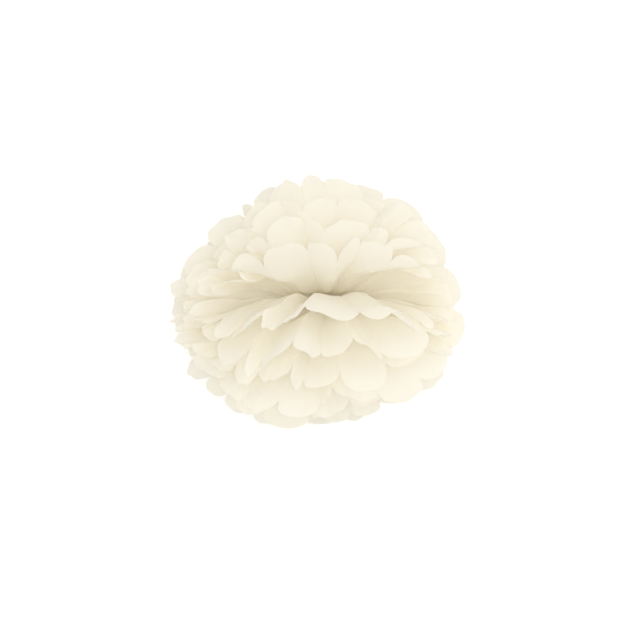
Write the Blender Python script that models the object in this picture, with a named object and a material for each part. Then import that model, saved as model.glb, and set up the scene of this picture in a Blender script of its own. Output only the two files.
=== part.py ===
"""Tissue paper pom pom: ten accordion-folded sheets tied at the middle and teased open into a ball."""
import math

import bpy
import numpy as np

# Driving sizes in metres
PAPER_REACH = 0.165       # tie to petal tip, half the length of a sheet
SHEET_WIDTH = 0.500       # across the folds
SHEET_COUNT = 10          # five pulled up, five pulled down
PANEL_COUNT = 12          # pleats across a sheet
PAPER_THICKNESS = 0.0003  # thickened so that the sheets are solid
SHEET_GAP = 0.0003        # air between neighbours inside the tie
TIP_DEPTH = 0.016         # depth of the round cut at a petal's end
NECK_WIDTH = 0.012        # gathered width inside the tie
NECK_HALF = 0.0030        # tie plane to the innermost fold-up
WIRE_RADIUS = 0.0005
WIRE_CLEARANCE = 0.0003
TWIST_RADIUS = 0.00068
TWIST_PITCH = 0.0050
TWIST_TURNS = 1.25

# Shape of the opened ball
SPLAY_ENDS = 61.0         # degrees the top sheet leans up at the ends of the tie
SPLAY_MIDDLE = 88.0       # degrees the top sheet leans up across the tie
BACK_SCALE = 0.86         # ball across the tie, relative to along it, on each side of the seam
FRONT_SCALE = 0.92
HEIGHT_SCALE = 0.82
END_ANGLE = 1.0           # degrees between a sheet's straight edge and the seam
FLAT_LEVEL = -0.096       # height under the tie where the lowest petals start to flatten
FLAT_SOFTNESS = 0.013
FLAT_SLOPE = 0.08
SEAM_BOW = 0.08           # bow of the seam between the two halves, as a share of the reach
SEAM_WAVE = 0.009         # the halves lap over each other by turns at the ends of the seam
SEAM_WAVE_LENGTH = 0.055
FULLNESS = 0.06           # how much squarer than an ellipse the ball is from above
FRONT_SLANT = 0.17        # the front half leans to the left
DISORDER = 0.0040
UNEVEN = 0.04             # how much the petals differ in reach, as a share of it
FOLD_DEPTH = 0.40         # depth of the deepest folds, as a share of the space between two sheets
SHEET_ROOM = 0.45         # the share of that space that a sheet never leaves, so that no two meet
SEED = 11

PAPER_COLOUR = (0.930, 0.885, 0.755)
WIRE_COLOUR = (0.90, 0.87, 0.78)

# Relative spread of the pleats from left to right, back half and front half, for the upper sheets
SPREADS = {
    9: ((0.40, 0.45, 0.30, 0.30, 0.85, 0.50, 0.30, 0.55, 0.35, 0.30, 0.35, 0.30),
        (0.45, 0.35, 0.60, 0.65, 0.35, 0.35, 0.85, 0.70, 0.40, 0.30, 0.35, 0.30)),
    8: ((0.90, 0.50, 0.85, 0.45, 0.80, 0.40, 0.85, 0.35, 0.60, 0.40, 0.50, 0.60),
        (0.45, 0.35, 0.75, 0.75, 0.35, 0.50, 0.55, 0.55, 0.45, 0.85, 0.60, 0.50)),
    7: ((0.80, 0.70, 0.80, 0.90, 0.90, 0.45, 0.90, 0.90, 0.70, 0.80, 0.85, 0.80),
        (0.55, 0.98, 0.98, 0.70, 0.75, 0.80, 0.30, 0.90, 0.95, 0.90, 0.95, 0.70)),
    6: ((0.25, 0.35, 0.90, 0.95, 0.95, 0.90, 0.60, 0.95, 0.95, 0.90, 0.95, 0.95),
        (0.30, 0.25, 0.60, 0.95, 0.90, 0.95, 0.90, 0.30, 0.95, 0.95, 0.95, 0.90)),
    5: ((0.20, 0.30, 0.85, 0.95, 0.22, 0.80, 0.25, 0.90, 0.95, 0.95, 0.95, 0.90),
        (0.20, 0.35, 0.40, 0.95, 0.95, 0.90, 0.95, 0.95, 0.90, 0.95, 0.95, 0.95)),
}

# Share of their spread that the last pleats at the left keep, where they stay folded,
# and the least that any pleat spreads, as a share of the sheet's mean
TUCKED = (0.75, 0.60, 0.60)
LEAST_SPREAD = 0.5

# Where the petals above the tie lie lower: side, degrees round from the right, half width, sink
LEANS = ((-1, 138, 34, 0.10), (-1, 178, 26, 0.42), (-1, 2, 30, 0.55), (-1, 80, 34, 0.05),
         (1, 178, 26, 0.32), (1, 28, 30, 0.15), (1, 0, 24, 0.38))

HALF_COUNT = SHEET_COUNT / 2
PITCH = PAPER_THICKNESS + SHEET_GAP
ROWS = ((0.0, 1), (0.32, 2), (0.72, 4), (1.0, 4))


def direction(layer, swing):
    """Unit direction of the paper at a height in the stack and an angle round the half ball."""
    along = math.radians(SPLAY_ENDS) * layer / HALF_COUNT
    across = math.radians(SPLAY_MIDDLE) * layer / HALF_COUNT
    x = np.cos(along) * np.cos(swing)
    y = np.cos(across) * np.sin(swing)
    rise = (np.sin(along) * np.cos(swing)) ** 2 + (np.sin(across) * np.sin(swing)) ** 2
    return np.stack([x, y, np.sign(layer) * np.sqrt(rise)], -1)


def disorder_waves():
    """Gentle random waves that bend the whole ball, so that no two petals lie alike."""
    rng = np.random.RandomState(SEED)
    heading = rng.normal(size=(14, 3))
    heading /= np.linalg.norm(heading, axis=1)[:, None]
    shift = rng.normal(size=(14, 3))
    shift /= np.linalg.norm(shift, axis=1)[:, None]
    length = PAPER_REACH * rng.uniform(0.54, 1.30, 14)
    phase = rng.uniform(0, 2 * math.pi, 14)
    return list(zip(heading, shift, length, phase))


def bend(points):
    """Bend, bow and flatten the ball as one body, which keeps every sheet clear of the next."""
    far = np.clip(np.linalg.norm(points, axis=-1, keepdims=True) / PAPER_REACH, 0, 1) ** 1.5
    out = points.copy()
    ends = (points[..., 0] / PAPER_REACH) ** 2
    lap = SEAM_WAVE * ends / (ends + 0.08)
    out[..., 1] += lap * np.sin(2 * math.pi * points[..., 2] / SEAM_WAVE_LENGTH)
    out[..., 1] -= SEAM_BOW * PAPER_REACH * ends
    plan = points[..., 0] ** 2 + points[..., 1] ** 2 + (0.2 * PAPER_REACH) ** 2
    corner = 1 + FULLNESS * (2 * points[..., 0] * points[..., 1] / plan) ** 2
    out[..., 0] = out[..., 0] * corner + FRONT_SLANT * np.minimum(points[..., 1], 0)
    out[..., 1] *= corner
    for heading, shift, length, phase in disorder_waves():
        size = DISORDER * (length / PAPER_REACH / 0.9) ** 1.4
        wave = np.sin((points @ heading)[..., None] * 2 * math.pi / length + phase)
        out = out + far * size * wave * shift
    lost = np.clip(FLAT_LEVEL - out[..., 2], 0, None)
    kept = FLAT_SLOPE * lost + (1 - FLAT_SLOPE) * FLAT_SOFTNESS * (1 - np.exp(-lost / FLAT_SOFTNESS))
    out[..., 2] = np.where(lost > 0, FLAT_LEVEL - kept, out[..., 2])
    return out


def pleat_spreads(rng, layer_index, side):
    """Relative spread of each pleat along the seam; neighbours share a fold, so they open in pairs."""
    pair = rng.uniform(0.25, 1.0, PANEL_COUNT // 2 + 1)
    spread = np.repeat(pair, 2)[rng.randint(2):][:PANEL_COUNT] * rng.uniform(0.85, 1.15, PANEL_COUNT)
    chosen = SPREADS.get(layer_index + 10 - SHEET_COUNT)
    if chosen and PANEL_COUNT == len(chosen[0]):
        spread = np.array(chosen[0 if side > 0 else 1][::-1])
    spread[-len(TUCKED):] *= TUCKED
    return np.maximum(spread, LEAST_SPREAD * spread.mean())


def settled(height, swing, side, share):
    """Height in the stack once the petals have sunk, which keeps the order of the sheets."""
    sink = 0 * swing
    for half, middle, width, most in LEANS:
        if half == side:
            sink = sink + most * np.exp(-((np.degrees(swing) - middle) / width) ** 2)
    sink = sink * np.clip(share / 0.7, 0, 1) ** 1.5
    return np.where(height > 0, height * (1 - sink), height)


def fan_rows(layer_index, side, rows):
    """Rows of points, tie to tip, of one half of a sheet opened as a fan."""
    rng = np.random.RandomState(SEED * 1000 + layer_index * 2 + (side < 0))
    layer = layer_index - HALF_COUNT + 0.5
    end = math.radians(END_ANGLE * (1 + 0.4 * rng.uniform(-1, 1)))
    swings = np.linspace(end, math.pi - end, 400)
    scale = np.array([1.0, BACK_SCALE if side > 0 else FRONT_SCALE, HEIGHT_SCALE])
    line = direction(settled(0.94 * layer + 0 * swings, swings, side, 1.0), swings) * scale * PAPER_REACH
    arc = np.r_[0, np.cumsum(np.linalg.norm(np.diff(line, axis=0), axis=1))]
    spread = pleat_spreads(rng, layer_index, side)
    place = np.r_[0, np.cumsum(spread)] / spread.sum() * arc[-1]
    fold_swing = np.interp(place, arc, swings)
    opening = np.clip(np.diff(place) / (SHEET_WIDTH / PANEL_COUNT), 0, 0.99)
    spacing = math.radians(SPLAY_MIDDLE) / HALF_COUNT * PAPER_REACH * 0.85
    rise = SHEET_WIDTH / PANEL_COUNT * np.sqrt(1 - opening ** 2) / spacing / 2
    fold_layer = np.zeros(PANEL_COUNT + 1)
    for fold in range(PANEL_COUNT + 1):
        fold_layer[fold] = rise[max(0, fold - 1):fold + 1].mean() * (-1 if fold % 2 else 1)
    cup = rng.uniform(-0.12, 0.16, PANEL_COUNT)
    curl = rng.normal(0, 0.12, PANEL_COUNT)
    reach = PAPER_REACH * (1 + UNEVEN * rng.uniform(-1, 1, PANEL_COUNT))
    fold_reach = np.r_[reach[0], (reach[1:] + reach[:-1]) / 2, reach[-1]] - TIP_DEPTH
    out = []
    for depth, segments in rows:
        row = []
        for panel in range(PANEL_COUNT):
            across = np.linspace(-1, 1, segments + 1)
            across = across[1:] if panel else across
            part = (across + 1) / 2
            swing = fold_swing[panel] + (fold_swing[panel + 1] - fold_swing[panel]) * part
            ridge = fold_layer[panel] + (fold_layer[panel + 1] - fold_layer[panel]) * part
            valley = fold_reach[panel] + (fold_reach[panel + 1] - fold_reach[panel]) * part
            crown = reach[panel] - (fold_reach[panel] + fold_reach[panel + 1]) / 2
            tip = valley + crown * np.sqrt(np.clip(1 - np.abs(across) ** 2.3, 0, 1))
            dome = 1 - across ** 2
            off = np.clip(ridge * (1 + 0.9 * (1 - depth)), -FOLD_DEPTH, FOLD_DEPTH)
            off = off * min(1, 0.28 + depth) * min(1, depth / 0.3)
            off = off + cup[panel] * dome * depth
            off = off + curl[panel] * np.sqrt(dome) * 5 * max(0, depth - 0.55) ** 2
            off = np.clip(off, -SHEET_ROOM, SHEET_ROOM)
            radius = depth * tip
            share = radius / PAPER_REACH
            lean = 1.08 - 0.15 * np.clip(1 - share / 0.35, 0, 1) ** 2 - 0.14 * share ** 3
            height = settled(np.clip((layer + off) * lean, -HALF_COUNT, HALF_COUNT), swing, side, share)
            seam = (NECK_HALF + PITCH * (HALF_COUNT - abs(layer))) * (1 - 0.8 * np.clip(share / 0.3, 0, 1))
            start = np.stack([NECK_WIDTH / 2 * np.cos(swing), seam, PITCH * layer + 0 * swing], -1)
            row.append(start + radius[:, None] * direction(height, swing) * scale)
        out.append(bend(np.concatenate(row) * np.array([1, side, 1])))
    return out


def band(upper, lower):
    """Triangles between two rows of point numbers, where one row may have twice the steps."""
    faces = []
    if len(upper) == len(lower):
        for i in range(len(upper) - 1):
            faces.append((upper[i], lower[i], lower[i + 1]))
            faces.append((upper[i], lower[i + 1], upper[i + 1]))
        return faces
    if len(upper) < len(lower):
        for i in range(len(upper) - 1):
            faces.append((upper[i], lower[2 * i], lower[2 * i + 1]))
            faces.append((upper[i], lower[2 * i + 1], upper[i + 1]))
            faces.append((upper[i + 1], lower[2 * i + 1], lower[2 * i + 2]))
        return faces
    return [(a, c, b) for a, b, c in band(lower, upper)]


def thicken(points, faces, thickness):
    """Closed solid of even thickness about a sheet."""
    faces = np.asarray(faces)
    a, b, c = points[faces[:, 0]], points[faces[:, 1]], points[faces[:, 2]]
    area = np.cross(b - a, c - a)
    unit = area / np.linalg.norm(area, axis=1)[:, None]
    normal = np.zeros_like(points)
    for corner in range(3):
        here = points[faces[:, corner]]
        one = points[faces[:, (corner + 1) % 3]] - here
        two = points[faces[:, (corner + 2) % 3]] - here
        cosine = np.sum(one * two, 1) / np.linalg.norm(one, axis=1) / np.linalg.norm(two, axis=1)
        np.add.at(normal, faces[:, corner], unit * np.arccos(np.clip(cosine, -1, 1))[:, None])
    normal /= np.linalg.norm(normal, axis=1)[:, None]
    tightest = np.ones(len(points))
    for corner in range(3):
        np.minimum.at(tightest, faces[:, corner], np.sum(normal[faces[:, corner]] * unit, 1))
    offset = normal * (thickness / 2 / np.clip(tightest, 0.45, 1))[:, None]
    count = len(points)
    solid = [tuple(f) for f in faces] + [(f[0] + count, f[2] + count, f[1] + count) for f in faces]
    directed = {(f[i], f[(i + 1) % 3]) for f in faces.tolist() for i in range(3)}
    for start, stop in sorted(directed):
        if (stop, start) not in directed:
            solid.append((stop, start, start + count))
            solid.append((stop, start + count, stop + count))
    return np.concatenate([points + offset, points - offset]), solid


def add_object(name, points, faces, material):
    mesh = bpy.data.meshes.new(name)
    mesh.from_pydata([tuple(p) for p in np.asarray(points).tolist()], [], [tuple(map(int, f)) for f in faces])
    mesh.update()
    mesh.materials.append(material)
    thing = bpy.data.objects.new(name, mesh)
    bpy.context.scene.collection.objects.link(thing)
    return thing


def add_material(name, colour, roughness, metallic):
    material = bpy.data.materials.new(name)
    material.use_nodes = True
    shader = material.node_tree.nodes["Principled BSDF"]
    shader.inputs["Base Color"].default_value = (*colour, 1.0)
    shader.inputs["Roughness"].default_value = roughness
    shader.inputs["Metallic"].default_value = metallic
    return material


def sheet_solid(layer_index):
    """One folded sheet: a fan on each side of the gathered neck."""
    back = fan_rows(layer_index, 1, ROWS)
    front = fan_rows(layer_index, -1, ROWS)
    rows = back[::-1] + front
    numbers = []
    total = 0
    for row in rows:
        numbers.append(list(range(total, total + len(row))))
        total += len(row)
    faces = []
    for upper, lower in zip(numbers[:-1], numbers[1:]):
        faces.extend(band(upper, lower))
    return thicken(np.concatenate(rows), faces, PAPER_THICKNESS)


def wire_path():
    """Centre line of the tie: a twisted tail, once round the gathered sheets, and back up."""
    half_wide = NECK_WIDTH / 2 + PAPER_THICKNESS / 2
    half_high = PITCH * (HALF_COUNT - 0.5) + PAPER_THICKNESS / 2
    off = WIRE_RADIUS + WIRE_CLEARANCE
    top = half_high + off
    foot = top + 2.2 * WIRE_RADIUS
    right = []
    steps = int(TWIST_TURNS * 10)
    for step in range(steps, -1, -1):
        turn = step / steps * TWIST_TURNS * 2 * math.pi
        right.append((TWIST_RADIUS * math.cos(turn), TWIST_RADIUS * math.sin(turn),
                      foot + step / steps * TWIST_TURNS * TWIST_PITCH))
    bend_radius = foot - top
    for step in range(1, 4):
        turn = step / 3 * math.pi / 2
        right.append((TWIST_RADIUS + bend_radius * (1 - math.cos(turn)), 0.0, foot - bend_radius * math.sin(turn)))
    for corner_z, start in ((half_high, 0), (-half_high, 1)):
        for step in range(4):
            turn = math.pi / 2 * (1 - start - step / 3)
            right.append((half_wide + off * math.cos(turn), 0.0, corner_z + off * math.sin(turn)))
    left = [(-x, -y, z) for x, y, z in right]
    return np.array(right + left[::-1])


def tube(path, radius, sides):
    """Closed round wire along a path."""
    tangent = np.gradient(path, axis=0)
    tangent /= np.linalg.norm(tangent, axis=1)[:, None]
    side = np.cross(tangent[0], [0.0, 1.0, 0.0])
    side /= np.linalg.norm(side)
    rings = []
    for point, along in zip(path, tangent):
        side = side - along * np.dot(side, along)
        side /= np.linalg.norm(side)
        other = np.cross(along, side)
        for k in range(sides):
            turn = 2 * math.pi * k / sides
            rings.append(point + radius * (math.cos(turn) * side + math.sin(turn) * other))
    faces = []
    for i in range(len(path) - 1):
        for k in range(sides):
            a = i * sides + k
            b = i * sides + (k + 1) % sides
            faces.append((a, b, b + sides, a + sides))
    faces.append(tuple(range(sides))[::-1])
    faces.append(tuple(range((len(path) - 1) * sides, len(path) * sides)))
    return np.array(rings), faces


def main():
    for thing in list(bpy.data.objects):
        bpy.data.objects.remove(thing)
    solids = [sheet_solid(index) for index in range(SHEET_COUNT)]
    floor = min(points[:, 2].min() for points, _ in solids)
    middle = np.concatenate([points for points, _ in solids])
    middle = (middle.min(0) + middle.max(0)) / 2
    shift = np.array([-middle[0], -middle[1], -floor])
    paper = add_material("ivory_tissue", PAPER_COLOUR, 0.85, 0.0)
    wire = add_material("tie_wire", WIRE_COLOUR, 0.45, 0.0)
    for index, (points, faces) in enumerate(solids):
        add_object("sheet_%d" % (index + 1), points + shift, faces, paper)
    points, faces = tube(wire_path(), WIRE_RADIUS, 6)
    add_object("tie_wire", points + shift, faces, wire)


main()
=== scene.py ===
import math
import bpy
import numpy as np
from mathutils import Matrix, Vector


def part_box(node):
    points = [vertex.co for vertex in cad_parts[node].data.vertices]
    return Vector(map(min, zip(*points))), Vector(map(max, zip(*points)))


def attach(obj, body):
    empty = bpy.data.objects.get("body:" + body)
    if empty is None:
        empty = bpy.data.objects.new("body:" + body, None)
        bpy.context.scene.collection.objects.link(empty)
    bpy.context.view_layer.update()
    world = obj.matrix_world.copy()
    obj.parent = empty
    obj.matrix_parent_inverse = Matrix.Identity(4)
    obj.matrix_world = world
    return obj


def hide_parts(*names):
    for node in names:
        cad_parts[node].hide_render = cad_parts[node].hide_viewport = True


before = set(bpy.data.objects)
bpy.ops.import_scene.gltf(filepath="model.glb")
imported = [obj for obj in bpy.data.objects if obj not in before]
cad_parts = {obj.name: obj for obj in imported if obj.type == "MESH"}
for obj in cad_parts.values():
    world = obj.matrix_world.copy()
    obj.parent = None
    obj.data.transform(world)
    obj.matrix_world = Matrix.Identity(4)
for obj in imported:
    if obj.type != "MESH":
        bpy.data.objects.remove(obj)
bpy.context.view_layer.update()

# Fineness of the visible pieces
STEPS_ACROSS = 18         # steps across a pleat
STEPS_ALONG = 30          # steps from the tie to a petal's tip
WIRE_SIDES = 14
WIRE_STEPS = 4            # steps between two points of the wire's path
SHEET_CREASE_ANGLE = 38   # degrees from which an edge is shaded as a sharp fold
WIRE_CREASE_ANGLE = 50

# The ball's sizes in metres, the same as in the solids
PAPER_REACH = 0.165       # tie to petal tip, half the length of a sheet
SHEET_WIDTH = 0.500       # across the folds
SHEET_COUNT = 10          # five pulled up, five pulled down
PANEL_COUNT = 12          # pleats across a sheet
PAPER_THICKNESS = 0.0003  # of a solid sheet, which sets how the necks stack in the tie
SHEET_GAP = 0.0003        # air between neighbours inside the tie
TIP_DEPTH = 0.016         # depth of the round cut at a petal's end
NECK_WIDTH = 0.012        # gathered width inside the tie
NECK_HALF = 0.0030        # tie plane to the innermost fold-up
WIRE_RADIUS = 0.0005
WIRE_CLEARANCE = 0.0003   # air between the gathered necks and the wire
WIRE_EASE = 0.00006       # the smooth wire is this much thinner, which keeps it off the necks
TWIST_RADIUS = 0.00068    # of the tails' coil round each other
TWIST_PITCH = 0.0050
TWIST_TURNS = 1.25

# Shape of the opened ball
SPLAY_ENDS = 61.0         # degrees the top sheet leans up at the ends of the tie
SPLAY_MIDDLE = 88.0       # degrees the top sheet leans up across the tie
BACK_SCALE = 0.86         # ball across the tie, relative to along it, on each side of the seam
FRONT_SCALE = 0.92
HEIGHT_SCALE = 0.82
END_ANGLE = 1.0           # degrees between a sheet's straight edge and the seam
FLAT_LEVEL = -0.096       # height under the tie where the lowest petals start to flatten
FLAT_SOFTNESS = 0.013
FLAT_SLOPE = 0.08
SEAM_BOW = 0.08           # bow of the seam between the two halves, as a share of the reach
SEAM_WAVE = 0.009         # the halves lap over each other by turns at the ends of the seam
SEAM_WAVE_LENGTH = 0.055
FULLNESS = 0.06           # how much squarer than an ellipse the ball is from above
FRONT_SLANT = 0.17        # the front half leans to the left
DISORDER = 0.0040         # size of the gentle waves that bend the whole ball
UNEVEN = 0.04             # how much the petals differ in reach, as a share of it
FOLD_DEPTH = 0.40         # depth of the deepest folds, as a share of the space between two sheets
SHEET_ROOM = 0.45         # the share of that space that a sheet never leaves, so that no two meet
SEED = 11

# Small crumples that only the visible sheets have, as shares of the space between two sheets
RIPPLE_DEPTH = 0.020      # folds that run from the tie to the rim
RIM_RIPPLE_DEPTH = 0.05   # flutter of the rim
RIM_WAVER = 0.008         # unevenness of the cut edge, as a share of the petal's reach

# Relative spread of the pleats from left to right, back half and front half, for the upper sheets
SPREADS = {
    9: ((0.40, 0.45, 0.30, 0.30, 0.85, 0.50, 0.30, 0.55, 0.35, 0.30, 0.35, 0.30),
        (0.45, 0.35, 0.60, 0.65, 0.35, 0.35, 0.85, 0.70, 0.40, 0.30, 0.35, 0.30)),
    8: ((0.90, 0.50, 0.85, 0.45, 0.80, 0.40, 0.85, 0.35, 0.60, 0.40, 0.50, 0.60),
        (0.45, 0.35, 0.75, 0.75, 0.35, 0.50, 0.55, 0.55, 0.45, 0.85, 0.60, 0.50)),
    7: ((0.80, 0.70, 0.80, 0.90, 0.90, 0.45, 0.90, 0.90, 0.70, 0.80, 0.85, 0.80),
        (0.55, 0.98, 0.98, 0.70, 0.75, 0.80, 0.30, 0.90, 0.95, 0.90, 0.95, 0.70)),
    6: ((0.25, 0.35, 0.90, 0.95, 0.95, 0.90, 0.60, 0.95, 0.95, 0.90, 0.95, 0.95),
        (0.30, 0.25, 0.60, 0.95, 0.90, 0.95, 0.90, 0.30, 0.95, 0.95, 0.95, 0.90)),
    5: ((0.20, 0.30, 0.85, 0.95, 0.22, 0.80, 0.25, 0.90, 0.95, 0.95, 0.95, 0.90),
        (0.20, 0.35, 0.40, 0.95, 0.95, 0.90, 0.95, 0.95, 0.90, 0.95, 0.95, 0.95)),
}

# Share of their spread that the last pleats at the left keep, where they stay folded,
# and the least that any pleat spreads, as a share of the sheet's mean
TUCKED = (0.75, 0.60, 0.60)
LEAST_SPREAD = 0.5

# Where the petals above the tie lie lower: side, degrees round from the right, half width, sink
LEANS = ((-1, 138, 34, 0.10), (-1, 178, 26, 0.42), (-1, 2, 30, 0.55), (-1, 80, 34, 0.05),
         (1, 178, 26, 0.32), (1, 28, 30, 0.15), (1, 0, 24, 0.38))

HALF_COUNT = SHEET_COUNT / 2
PITCH = PAPER_THICKNESS + SHEET_GAP
TIE_DROP = PITCH * (HALF_COUNT - 0.5) + PAPER_THICKNESS / 2 + 2 * WIRE_RADIUS + WIRE_CLEARANCE

# Ivory tissue, from its darker to its lighter fibres, as it looks in front light and against the light
TISSUE_TONES = ((0.984, 0.965, 0.912), (0.993, 0.982, 0.944))
GLOW_TONES = ((0.986, 0.943, 0.815), (0.995, 0.965, 0.877))
ENAMEL_TONES = ((0.82, 0.79, 0.69), (0.92, 0.89, 0.81))
THROUGH_SHARE = 0.60      # share of the light that passes through the paper
CREASE_SHARE = 0.45       # weight of the long creases against the crumples in the bump
CREASE_STRENGTH = 0.30
CREASE_HEIGHT = 0.0016
WORN_GLOSS = (0.32, 0.55)  # roughness of the enamel, polished and worn

# Studio: lamps as name, place, watts and size, all turned to the ball
AIM = (0, 0, 0.12)
LAMPS = (("front", (0.1, -0.42, 2.3), 11.0, 0.6),
         ("key", (1.3, 0.5, 1.5), 4.5, 1.5))
SKY_LIGHT = 0.83          # strength of the white surroundings on the object
SKY_SEEN = 1.0            # and as the camera sees them
FLOOR_HALF = 4
FLOOR_COLOUR = (0.90, 0.90, 0.89, 1.0)
FLOOR_ROUGHNESS = 0.9
FLOOR_LIFT = 0.26         # brings the lit floor up to white for the camera, and leaves the shadow
WHITE = (1.0, 1.0, 1.0, 1.0)

# Camera
CAMERA_ELEVATION = 80     # degrees above the floor
CAMERA_DISTANCE = 1.7
CAMERA_TARGET = (-0.001, -0.016, 0.12)
SENSOR_WIDTH = 36
BALL_WIDTH = 0.362        # metres across the ball
BALL_PIXELS = 294         # the ball's width in the picture
PICTURE_PIXELS = 633


def direction(layer, swing):
    """Unit direction of the paper at a height in the stack and an angle round the half ball."""
    along = math.radians(SPLAY_ENDS) * layer / HALF_COUNT
    across = math.radians(SPLAY_MIDDLE) * layer / HALF_COUNT
    x = np.cos(along) * np.cos(swing)
    y = np.cos(across) * np.sin(swing)
    rise = (np.sin(along) * np.cos(swing)) ** 2 + (np.sin(across) * np.sin(swing)) ** 2
    return np.stack([x, y, np.sign(layer) * np.sqrt(rise)], -1)


def disorder_waves():
    """Gentle random waves that bend the whole ball, so that no two petals lie alike."""
    rng = np.random.RandomState(SEED)
    heading = rng.normal(size=(14, 3))
    heading /= np.linalg.norm(heading, axis=1)[:, None]
    shift = rng.normal(size=(14, 3))
    shift /= np.linalg.norm(shift, axis=1)[:, None]
    length = PAPER_REACH * rng.uniform(0.54, 1.30, 14)
    phase = rng.uniform(0, 2 * math.pi, 14)
    return list(zip(heading, shift, length, phase))


def bend(points):
    """Bend, bow and flatten the ball as one body, which keeps every sheet clear of the next."""
    far = np.clip(np.linalg.norm(points, axis=-1, keepdims=True) / PAPER_REACH, 0, 1) ** 1.5
    out = points.copy()
    ends = (points[..., 0] / PAPER_REACH) ** 2
    lap = SEAM_WAVE * ends / (ends + 0.08)
    out[..., 1] += lap * np.sin(2 * math.pi * points[..., 2] / SEAM_WAVE_LENGTH)
    out[..., 1] -= SEAM_BOW * PAPER_REACH * ends
    plan = points[..., 0] ** 2 + points[..., 1] ** 2 + (0.2 * PAPER_REACH) ** 2
    corner = 1 + FULLNESS * (2 * points[..., 0] * points[..., 1] / plan) ** 2
    out[..., 0] = out[..., 0] * corner + FRONT_SLANT * np.minimum(points[..., 1], 0)
    out[..., 1] *= corner
    for heading, shift, length, phase in disorder_waves():
        size = DISORDER * (length / PAPER_REACH / 0.9) ** 1.4
        wave = np.sin((points @ heading)[..., None] * 2 * math.pi / length + phase)
        out = out + far * size * wave * shift
    lost = np.clip(FLAT_LEVEL - out[..., 2], 0, None)
    kept = FLAT_SLOPE * lost + (1 - FLAT_SLOPE) * FLAT_SOFTNESS * (1 - np.exp(-lost / FLAT_SOFTNESS))
    out[..., 2] = np.where(lost > 0, FLAT_LEVEL - kept, out[..., 2])
    return out


def pleat_spreads(rng, layer_index, side):
    """Relative spread of each pleat along the seam; neighbours share a fold, so they open in pairs."""
    pair = rng.uniform(0.25, 1.0, PANEL_COUNT // 2 + 1)
    spread = np.repeat(pair, 2)[rng.randint(2):][:PANEL_COUNT] * rng.uniform(0.85, 1.15, PANEL_COUNT)
    chosen = SPREADS.get(layer_index + 10 - SHEET_COUNT)
    if chosen and PANEL_COUNT == len(chosen[0]):
        spread = np.array(chosen[0 if side > 0 else 1][::-1])
    spread[-len(TUCKED):] *= TUCKED
    return np.maximum(spread, LEAST_SPREAD * spread.mean())


def settled(height, swing, side, share):
    """Height in the stack once the petals have sunk, which keeps the order of the sheets."""
    sink = 0 * swing
    for half, middle, width, most in LEANS:
        if half == side:
            sink = sink + most * np.exp(-((np.degrees(swing) - middle) / width) ** 2)
    sink = sink * np.clip(share / 0.7, 0, 1) ** 1.5
    return np.where(height > 0, height * (1 - sink), height)


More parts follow.
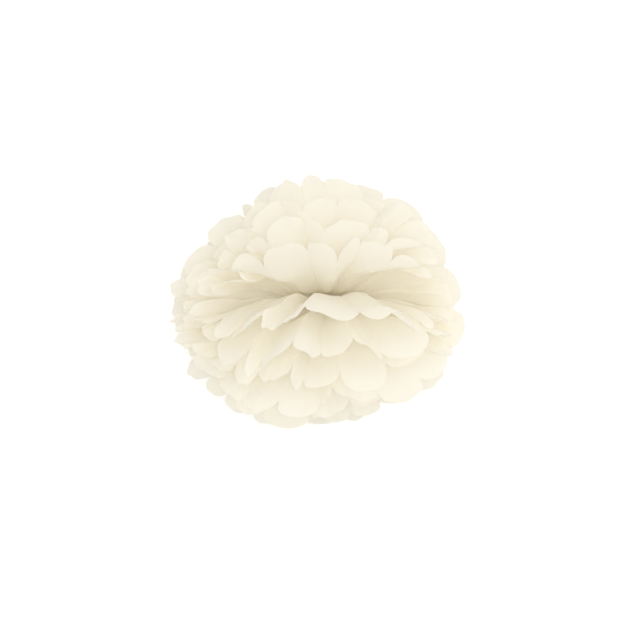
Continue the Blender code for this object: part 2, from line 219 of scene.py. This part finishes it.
def fan_rows(layer_index, side, rows):
    """Rows of points, tie to tip, of one half of a sheet opened as a fan."""
    rng = np.random.RandomState(SEED * 1000 + layer_index * 2 + (side < 0))
    fine = fine_waves(layer_index, side)
    layer = layer_index - HALF_COUNT + 0.5
    end = math.radians(END_ANGLE * (1 + 0.4 * rng.uniform(-1, 1)))
    swings = np.linspace(end, math.pi - end, 400)
    scale = np.array([1.0, BACK_SCALE if side > 0 else FRONT_SCALE, HEIGHT_SCALE])
    line = direction(settled(0.94 * layer + 0 * swings, swings, side, 1.0), swings) * scale * PAPER_REACH
    arc = np.r_[0, np.cumsum(np.linalg.norm(np.diff(line, axis=0), axis=1))]
    spread = pleat_spreads(rng, layer_index, side)
    place = np.r_[0, np.cumsum(spread)] / spread.sum() * arc[-1]
    fold_swing = np.interp(place, arc, swings)
    opening = np.clip(np.diff(place) / (SHEET_WIDTH / PANEL_COUNT), 0, 0.99)
    spacing = math.radians(SPLAY_MIDDLE) / HALF_COUNT * PAPER_REACH * 0.85
    rise = SHEET_WIDTH / PANEL_COUNT * np.sqrt(1 - opening ** 2) / spacing / 2
    fold_layer = np.zeros(PANEL_COUNT + 1)
    for fold in range(PANEL_COUNT + 1):
        fold_layer[fold] = rise[max(0, fold - 1):fold + 1].mean() * (-1 if fold % 2 else 1)
    cup = rng.uniform(-0.12, 0.16, PANEL_COUNT)
    curl = rng.normal(0, 0.12, PANEL_COUNT)
    reach = PAPER_REACH * (1 + UNEVEN * rng.uniform(-1, 1, PANEL_COUNT))
    fold_reach = np.r_[reach[0], (reach[1:] + reach[:-1]) / 2, reach[-1]] - TIP_DEPTH
    out = []
    for depth, segments in rows:
        row = []
        for panel in range(PANEL_COUNT):
            across = np.linspace(-1, 1, segments + 1)
            across = across[1:] if panel else across
            part = (across + 1) / 2
            swing = fold_swing[panel] + (fold_swing[panel + 1] - fold_swing[panel]) * part
            ridge = fold_layer[panel] + (fold_layer[panel + 1] - fold_layer[panel]) * part
            valley = fold_reach[panel] + (fold_reach[panel + 1] - fold_reach[panel]) * part
            crown = reach[panel] - (fold_reach[panel] + fold_reach[panel + 1]) / 2
            rounding = np.sqrt(np.clip(1 - np.abs(across) ** 2.3, 0, 1))
            tip = (1 + rim_waver(fine[panel], across)) * (valley + crown * rounding)
            dome = 1 - across ** 2
            off = np.clip(ridge * (1 + 0.9 * (1 - depth)), -FOLD_DEPTH, FOLD_DEPTH)
            off = off * min(1, 0.28 + depth) * min(1, depth / 0.3)
            off = off + cup[panel] * dome * depth
            off = off + curl[panel] * np.sqrt(dome) * 5 * max(0, depth - 0.55) ** 2
            off = off + ripples(fine[panel], across, dome, depth)
            off = np.clip(off, -SHEET_ROOM, SHEET_ROOM)
            radius = depth * tip
            share = radius / PAPER_REACH
            lean = 1.08 - 0.15 * np.clip(1 - share / 0.35, 0, 1) ** 2 - 0.14 * share ** 3
            height = settled(np.clip((layer + off) * lean, -HALF_COUNT, HALF_COUNT), swing, side, share)
            seam = (NECK_HALF + PITCH * (HALF_COUNT - abs(layer))) * (1 - 0.8 * np.clip(share / 0.3, 0, 1))
            start = np.stack([NECK_WIDTH / 2 * np.cos(swing), seam, PITCH * layer + 0 * swing], -1)
            row.append(start + radius[:, None] * direction(height, swing) * scale)
        out.append(bend(np.concatenate(row) * np.array([1, side, 1])))
    return out


def wire_path():
    """Centre line of the tie: a twisted tail, once round the gathered sheets, and back up."""
    half_wide = NECK_WIDTH / 2 + PAPER_THICKNESS / 2
    half_high = PITCH * (HALF_COUNT - 0.5) + PAPER_THICKNESS / 2
    off = WIRE_RADIUS + WIRE_CLEARANCE
    top = half_high + off
    foot = top + 2.2 * WIRE_RADIUS
    right = []
    steps = int(TWIST_TURNS * 10)
    for step in range(steps, -1, -1):
        turn = step / steps * TWIST_TURNS * 2 * math.pi
        right.append((TWIST_RADIUS * math.cos(turn), TWIST_RADIUS * math.sin(turn),
                      foot + step / steps * TWIST_TURNS * TWIST_PITCH))
    bend_radius = foot - top
    for step in range(1, 4):
        turn = step / 3 * math.pi / 2
        right.append((TWIST_RADIUS + bend_radius * (1 - math.cos(turn)), 0.0,
                      foot - bend_radius * math.sin(turn)))
    for corner_z, start in ((half_high, 0), (-half_high, 1)):
        for step in range(4):
            turn = math.pi / 2 * (1 - start - step / 3)
            right.append((half_wide + off * math.cos(turn), 0.0, corner_z + off * math.sin(turn)))
    left = [(-x, -y, z) for x, y, z in right]
    return np.array(right + left[::-1])


def tube(path, radius, sides):
    """Closed round wire along a path."""
    tangent = np.gradient(path, axis=0)
    tangent /= np.linalg.norm(tangent, axis=1)[:, None]
    side = np.cross(tangent[0], [0.0, 1.0, 0.0])
    side /= np.linalg.norm(side)
    rings = []
    for point, along in zip(path, tangent):
        side = side - along * np.dot(side, along)
        side /= np.linalg.norm(side)
        other = np.cross(along, side)
        for k in range(sides):
            turn = 2 * math.pi * k / sides
            rings.append(point + radius * (math.cos(turn) * side + math.sin(turn) * other))
    faces = []
    for i in range(len(path) - 1):
        for k in range(sides):
            a = i * sides + k
            b = i * sides + (k + 1) % sides
            faces.append((a, b, b + sides, a + sides))
    faces.append(tuple(range(sides))[::-1])
    faces.append(tuple(range((len(path) - 1) * sides, len(path) * sides)))
    return np.array(rings), faces


def fine_waves(layer_index, side):
    """Random numbers for the small crumples of each petal."""
    rng = np.random.RandomState(SEED * 3000 + layer_index * 2 + (side < 0))
    return rng.uniform(-1, 1, (PANEL_COUNT, 4, 4))


def ripples(waves, across, dome, depth):
    """Small folds that run from the tie to the petal's rim, in steps between sheets."""
    total = 0 * across
    for push, turn, pace, drift in waves[:3]:
        angle = (1.4 + pace) * math.pi * across + math.pi * turn + 2.2 * drift * depth
        total = total + RIPPLE_DEPTH * push * dome * np.sin(angle) * depth
    push, turn, pace = waves[3][:3]
    rim = max(0.0, depth - 0.7) / 0.3
    return total + RIM_RIPPLE_DEPTH * push * rim ** 2 * np.sin(math.pi * (across * (1.2 + pace) + turn))


def rim_waver(waves, across):
    """Slight unevenness of a petal's cut edge, as a share of its reach."""
    push, turn, pace = waves[2][:3]
    return RIM_WAVER * push * np.sin(math.pi * (across * (2.5 + pace) + turn))


def sheet_mesh(layer_index):
    """One sheet as a single skin, as thin as tissue is, with its flat layout in metres for the grain."""
    rows = [(depth, STEPS_ACROSS) for depth in np.linspace(0, 1, STEPS_ALONG + 1)]
    rows = np.stack(fan_rows(layer_index, 1, rows)[::-1] + fan_rows(layer_index, -1, rows))
    tall, wide = rows.shape[:2]
    index = np.arange(tall * wide).reshape(tall, wide)
    faces = np.stack([index[:-1, :-1], index[1:, :-1], index[1:, 1:], index[:-1, 1:]], -1).reshape(-1, 4)
    across = np.linspace(0, SHEET_WIDTH, wide)
    along = np.r_[np.linspace(-PAPER_REACH, 0, tall // 2), np.linspace(0, PAPER_REACH, tall // 2)]
    flat = np.stack(np.meshgrid(across, along), -1).reshape(-1, 2)
    return rows.reshape(-1, 3), faces.tolist(), flat


def link_noise(tree, vector, stretch, scale, detail):
    """Noise over the flat sheet, drawn out along the folds by stretch."""
    mapping = tree.nodes.new("ShaderNodeMapping")
    mapping.inputs["Scale"].default_value = (1.0, 1.0 / stretch, 1.0)
    noise = tree.nodes.new("ShaderNodeTexNoise")
    noise.inputs["Scale"].default_value = scale
    noise.inputs["Detail"].default_value = detail
    noise.inputs["Roughness"].default_value = 0.6
    tree.links.new(vector, mapping.inputs["Vector"])
    tree.links.new(mapping.outputs["Vector"], noise.inputs["Vector"])
    return noise.outputs["Fac"]


def tone(tree, factor, low, high, tones):
    """Colour between two tones of a material."""
    dark, light = tones
    ramp = tree.nodes.new("ShaderNodeValToRGB")
    ramp.color_ramp.elements[0].position = low
    ramp.color_ramp.elements[0].color = (*dark, 1)
    ramp.color_ramp.elements[1].position = high
    ramp.color_ramp.elements[1].color = (*light, 1)
    tree.links.new(factor, ramp.inputs["Fac"])
    return ramp.outputs["Color"]


def paper_material():
    """Thin ivory tissue: pale where light falls on it, warmer where light comes through it."""
    material = bpy.data.materials.new("ivory_tissue_paper")
    material.use_nodes = True
    tree = material.node_tree
    tree.nodes.clear()
    out = tree.nodes.new("ShaderNodeOutputMaterial")
    front = tree.nodes.new("ShaderNodeBsdfDiffuse")
    through = tree.nodes.new("ShaderNodeBsdfTranslucent")
    mix = tree.nodes.new("ShaderNodeMixShader")
    flat = tree.nodes.new("ShaderNodeUVMap")
    flat.uv_map = "flat_sheet"
    fibre = link_noise(tree, flat.outputs["UV"], 2.5, 1400, 4)
    crease = link_noise(tree, flat.outputs["UV"], 14, 260, 3)
    crumple = link_noise(tree, flat.outputs["UV"], 1.6, 75, 5)
    blend = tree.nodes.new("ShaderNodeMath")
    blend.operation = "MULTIPLY_ADD"
    blend.inputs[1].default_value = CREASE_SHARE
    tree.links.new(crease, blend.inputs[0])
    tree.links.new(crumple, blend.inputs[2])
    bump = tree.nodes.new("ShaderNodeBump")
    bump.inputs["Strength"].default_value = CREASE_STRENGTH
    bump.inputs["Distance"].default_value = CREASE_HEIGHT
    tree.links.new(blend.outputs[0], bump.inputs["Height"])
    for shader, tones in ((front, TISSUE_TONES), (through, GLOW_TONES)):
        tree.links.new(bump.outputs["Normal"], shader.inputs["Normal"])
        tree.links.new(tone(tree, fibre, 0.3, 0.7, tones), shader.inputs["Color"])
    mix.inputs["Fac"].default_value = THROUGH_SHARE
    tree.links.new(front.outputs[0], mix.inputs[1])
    tree.links.new(through.outputs[0], mix.inputs[2])
    tree.links.new(mix.outputs[0], out.inputs["Surface"])
    return material


def wire_material():
    """Enamelled wire with small spots in its colour and its gloss."""
    material = bpy.data.materials.new("ivory_enamel")
    material.use_nodes = True
    tree = material.node_tree
    shader = tree.nodes["Principled BSDF"]
    place = tree.nodes.new("ShaderNodeTexCoord")
    spots = link_noise(tree, place.outputs["Object"], 1.0, 1800, 3)
    tree.links.new(tone(tree, spots, 0.35, 0.7, ENAMEL_TONES), shader.inputs["Base Color"])
    rough = tree.nodes.new("ShaderNodeMapRange")
    rough.inputs["To Min"].default_value, rough.inputs["To Max"].default_value = WORN_GLOSS
    tree.links.new(spots, rough.inputs["Value"])
    tree.links.new(rough.outputs[0], shader.inputs["Roughness"])
    bump = tree.nodes.new("ShaderNodeBump")
    bump.inputs["Strength"].default_value = 0.2
    bump.inputs["Distance"].default_value = 0.00005
    tree.links.new(spots, bump.inputs["Height"])
    tree.links.new(bump.outputs["Normal"], shader.inputs["Normal"])
    return material


def add_piece(name, points, faces, material, node):
    """Put a mesh in the scene in place of its solid."""
    mesh = bpy.data.meshes.new(name)
    mesh.from_pydata((points + SHIFT).tolist(), [], faces)
    mesh.update()
    mesh.materials.append(material)
    piece = bpy.data.objects.new(name, mesh)
    bpy.context.scene.collection.objects.link(piece)
    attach(piece, "root")
    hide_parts(node)
    return mesh


def build_sheets():
    """All ten sheets of tissue, from the lowest to the top one."""
    material = paper_material()
    for k in range(SHEET_COUNT):
        points, faces, flat = sheet_mesh(k)
        mesh = add_piece("tissue_%d" % (k + 1), points, faces, material, "sheet_%d" % (k + 1))
        layout = mesh.uv_layers.new(name="flat_sheet")
        corner = np.empty(len(mesh.loops), dtype=np.int32)
        mesh.loops.foreach_get("vertex_index", corner)
        layout.data.foreach_set("uv", flat[corner].ravel().astype(np.float32))
        mesh.shade_smooth()
        mesh.set_sharp_from_angle(angle=math.radians(SHEET_CREASE_ANGLE))


def smooth_path(path, steps):
    """Points on a smooth curve through the path."""
    ahead = np.concatenate([path[:1] * 2 - path[1:2], path, path[-1:] * 2 - path[-2:-1]])
    out = []
    for i in range(len(path) - 1):
        a, b, c, d = ahead[i:i + 4]
        for step in range(steps):
            t = step / steps
            out.append(0.5 * (2 * b + (c - a) * t + (2 * a - 5 * b + 4 * c - d) * t ** 2
                              + (3 * b - a - 3 * c + d) * t ** 3))
    return np.array(out + [path[-1]])


def build_tie():
    """The wire round the gathered necks, with its twisted tails."""
    points, faces = tube(smooth_path(wire_path(), WIRE_STEPS), WIRE_RADIUS - WIRE_EASE, WIRE_SIDES)
    mesh = add_piece("tie", points, faces, wire_material(), "tie_wire")
    mesh.shade_smooth()
    mesh.set_sharp_from_angle(angle=math.radians(WIRE_CREASE_ANGLE))


def white_surroundings():
    """Even white light from all round, white to the camera too."""
    world = bpy.data.worlds.new("studio")
    bpy.context.scene.world = world
    world.use_nodes = True
    tree = world.node_tree
    background = tree.nodes["Background"]
    background.inputs["Color"].default_value = WHITE
    path = tree.nodes.new("ShaderNodeLightPath")
    strength = tree.nodes.new("ShaderNodeMapRange")
    strength.inputs["To Min"].default_value = SKY_LIGHT
    strength.inputs["To Max"].default_value = SKY_SEEN
    tree.links.new(path.outputs["Is Camera Ray"], strength.inputs["Value"])
    tree.links.new(strength.outputs[0], background.inputs["Strength"])


def floor_material():
    """White floor that the camera sees a little brighter than it is lit."""
    material = bpy.data.materials.new("white_floor")
    material.use_nodes = True
    tree = material.node_tree
    shader = tree.nodes["Principled BSDF"]
    shader.inputs["Base Color"].default_value = FLOOR_COLOUR
    shader.inputs["Roughness"].default_value = FLOOR_ROUGHNESS
    path = tree.nodes.new("ShaderNodeLightPath")
    glow = tree.nodes.new("ShaderNodeEmission")
    glow.inputs["Color"].default_value = WHITE
    lift = tree.nodes.new("ShaderNodeMath")
    lift.operation = "MULTIPLY"
    lift.inputs[1].default_value = FLOOR_LIFT
    tree.links.new(path.outputs["Is Camera Ray"], lift.inputs[0])
    tree.links.new(lift.outputs[0], glow.inputs["Strength"])
    both = tree.nodes.new("ShaderNodeAddShader")
    tree.links.new(shader.outputs[0], both.inputs[0])
    tree.links.new(glow.outputs[0], both.inputs[1])
    tree.links.new(both.outputs[0], tree.nodes["Material Output"].inputs["Surface"])
    return material


def build_floor():
    """Flat floor under the ball, part of the stage."""
    mesh = bpy.data.meshes.new("floor")
    corners = [(x * FLOOR_HALF, y * FLOOR_HALF, 0) for x, y in ((-1, -1), (1, -1), (1, 1), (-1, 1))]
    mesh.from_pydata(corners, [], [(0, 1, 2, 3)])
    floor = bpy.data.objects.new("floor", mesh)
    bpy.context.scene.collection.objects.link(floor)
    mesh.materials.append(floor_material())


def add_lamps():
    """Soft lamps above and beside the ball."""
    for name, place, power, size in LAMPS:
        lamp = bpy.data.lights.new(name, "AREA")
        lamp.energy = power
        lamp.size = size
        thing = bpy.data.objects.new(name, lamp)
        thing.location = place
        thing.rotation_euler = (Vector(AIM) - Vector(place)).to_track_quat("-Z", "Y").to_euler()
        bpy.context.scene.collection.objects.link(thing)


def add_camera():
    """The photograph's view, steeply from above."""
    lens = bpy.data.cameras.new("camera")
    thing = bpy.data.objects.new("camera", lens)
    bpy.context.scene.collection.objects.link(thing)
    elevation = math.radians(CAMERA_ELEVATION)
    away = Vector((0, -math.cos(elevation), math.sin(elevation)))
    thing.location = Vector(CAMERA_TARGET) + away * CAMERA_DISTANCE
    thing.rotation_euler = (-away).to_track_quat("-Z", "Y").to_euler()
    lens.sensor_width = SENSOR_WIDTH
    lens.lens = SENSOR_WIDTH * CAMERA_DISTANCE / (BALL_WIDTH * PICTURE_PIXELS / BALL_PIXELS)
    lens.clip_end = 20
    bpy.context.scene.camera = thing


# The middle of the tie, where all sheets start from, in the frame
tie_low, tie_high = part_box("tie_wire")
SHIFT = np.array([(tie_low[0] + tie_high[0]) / 2, (tie_low[1] + tie_high[1]) / 2, tie_low[2] + TIE_DROP])

bpy.context.scene.view_settings.view_transform = "Standard"
build_sheets()
build_tie()
white_surroundings()
build_floor()
add_lamps()
add_camera()
